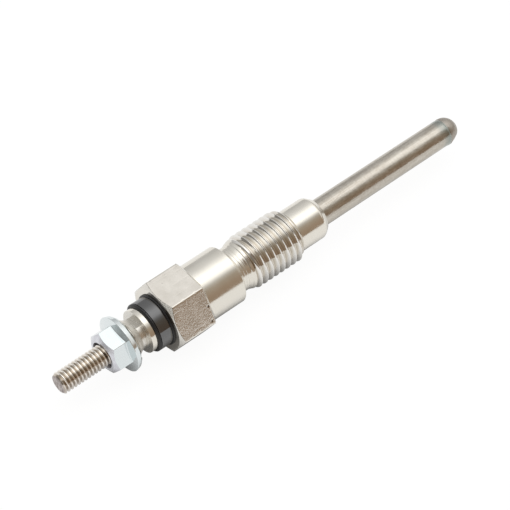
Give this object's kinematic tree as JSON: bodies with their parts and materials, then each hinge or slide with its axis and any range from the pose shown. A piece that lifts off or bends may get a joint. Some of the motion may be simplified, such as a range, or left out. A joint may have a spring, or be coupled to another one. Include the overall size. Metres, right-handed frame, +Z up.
{
  "type": "diesel glow plug",
  "caption": "Diesel glow plug: sheathed heater in a hex housing with a threaded body, tapered seat, insulated terminal stud and flange nut; preheats the combustion chamber.",
  "frame": {"origin": "on the plug's axis, at the outboard end of the full body thread", "axes": "+X along the axis from the terminal to the heater's tip, +Z up out of the hexagon's upper flat; the plug lies on the lower flat"},
  "size_m": [0.0879, 0.0138, 0.012],
  "materials": {
    "nickel_plate": "bright warm nickel plating over turned steel",
    "zinc_plate": "bright zinc plating with a faint blue cast",
    "heat_steel": "smooth satin heat-resistant alloy, slightly brown",
    "stud_steel": "plated steel with a rolled thread and a cropped end",
    "phenolic": "glossy black moulding",
    "seal_rubber": "matt black sealing rubber",
    "resistance_wire": "drawn resistance wire, slightly oxidised",
    "magnesia": "matt compacted off-white powder"
  },
  "bodies": {
    "root": {"housing": "nickel_plate", "heater_tube": "heat_steel", "heating_coil": "resistance_wire", "regulating_coil": "resistance_wire", "magnesia_filling": "magnesia", "tube_seal": "seal_rubber", "centre_electrode": "stud_steel", "o_ring": "seal_rubber", "insulator_bushing": "phenolic", "terminal_collar": "nickel_plate", "terminal_nut": "zinc_plate"}
  },
  "joints": []
}
